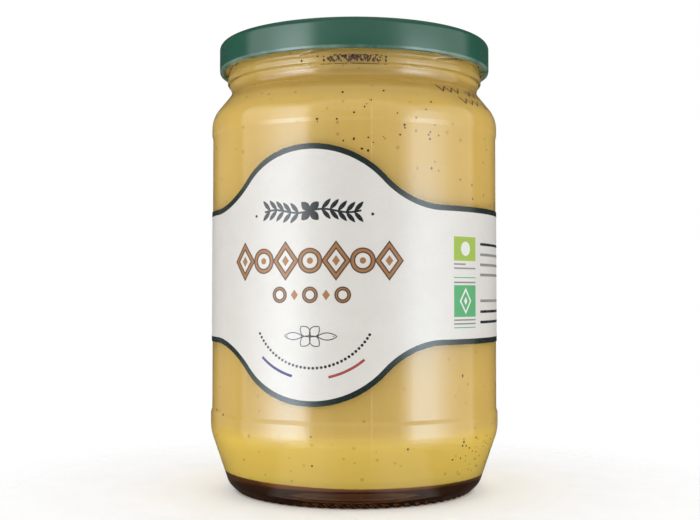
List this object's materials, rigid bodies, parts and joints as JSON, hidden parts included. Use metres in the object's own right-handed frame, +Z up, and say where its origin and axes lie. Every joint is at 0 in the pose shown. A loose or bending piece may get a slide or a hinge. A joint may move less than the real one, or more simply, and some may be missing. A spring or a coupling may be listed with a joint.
{
  "type": "jar of mustard",
  "caption": "Round glass jar of mustard with a twist-off metal lid, a tapered foot, a rounded shoulder and a wrap-round paper label with a medallion front.",
  "frame": {"origin": "centre of the foot, on the surface that the jar stands on", "axes": "+Z up along the jar's axis, -Y out through the middle of the label's medallion"},
  "size_m": [0.0906, 0.0906, 0.1401],
  "materials": {
    "clear_glass": "smooth clear soda-lime glass",
    "mustard_fill": "smooth ochre paste with sparse brown specks",
    "lid_paint": "satin dark green lacquer on pressed sheet steel",
    "label_paper": "matt off-white paper, dark green printed border"
  },
  "bodies": {
    "root": {"glass_jar": "clear_glass", "mustard": "mustard_fill", "lid": "lid_paint", "label": "label_paper"}
  },
  "joints": []
}
